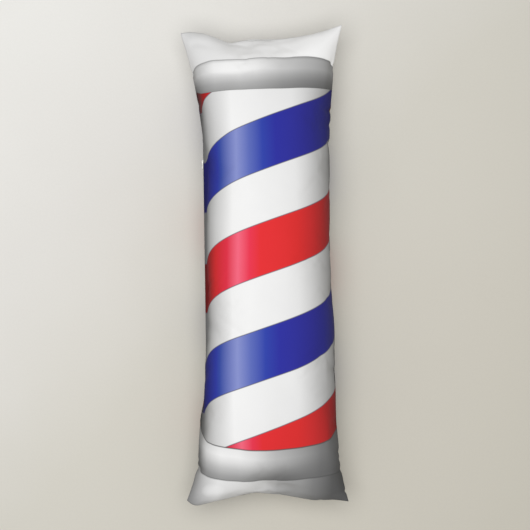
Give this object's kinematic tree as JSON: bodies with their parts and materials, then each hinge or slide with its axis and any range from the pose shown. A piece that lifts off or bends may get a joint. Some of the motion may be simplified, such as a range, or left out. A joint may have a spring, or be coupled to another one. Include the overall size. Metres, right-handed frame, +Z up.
{
  "type": "body pillow",
  "caption": "Long stuffed body pillow in a printed zip-off cover with flared corners, lying flat, with an inner pillow, a concealed side zip, a running slider and a swinging pull tab.",
  "frame": {"origin": "on the surface the pillow lies on, under the centre of its bounding box", "axes": "+X across the pillow, from the zip's side to the side without a zip; +Y along it, towards the top of the print; +Z up, out of the printed front"},
  "size_m": [0.4576, 1.3404, 0.285],
  "materials": {
    "printed_polyester": "brushed polyester knit with a dye-sublimated print",
    "insert_ticking": "plain woven",
    "fibre_filling": "loose hollow polyester fibre",
    "thread": "spun polyester",
    "zip_tape": "woven tape",
    "zip_coil": "nylon coil",
    "zip_metal": "plated die-cast zinc",
    "label_ribbon": "satin ribbon"
  },
  "bodies": {
    "pillow": {"cover_front_panel": "printed_polyester", "cover_back_panel": "printed_polyester", "cover_seam_thread": "thread", "cover_care_label": "label_ribbon", "insert_front_panel": "insert_ticking", "insert_back_panel": "insert_ticking", "insert_filling": "fibre_filling", "insert_seam_thread": "thread", "insert_closing_thread": "thread", "zip_tape_upper": "zip_tape", "zip_tape_lower": "zip_tape", "zip_stitch_upper": "thread", "zip_stitch_lower": "thread", "zip_coil_upper": "zip_coil", "zip_coil_lower": "zip_coil", "zip_top_stop_upper": "zip_metal", "zip_top_stop_lower": "zip_metal", "zip_bottom_stop": "zip_metal"},
    "slider": {"zip_slider": "zip_metal"},
    "pull": {"zip_pull_tab": "zip_metal"}
  },
  "joints": [
    {"name": "zip_slide", "type": "slide", "parent": "pillow", "child": "slider", "axis": [0, -1, 0], "range_m": [0, 0.5947]},
    {"name": "pull_swing", "type": "hinge", "parent": "slider", "child": "pull", "pos_m": [-0.17321, 0.29735, 0.134], "axis": [0, 0, -1], "range_deg": [0, 180]}
  ]
}
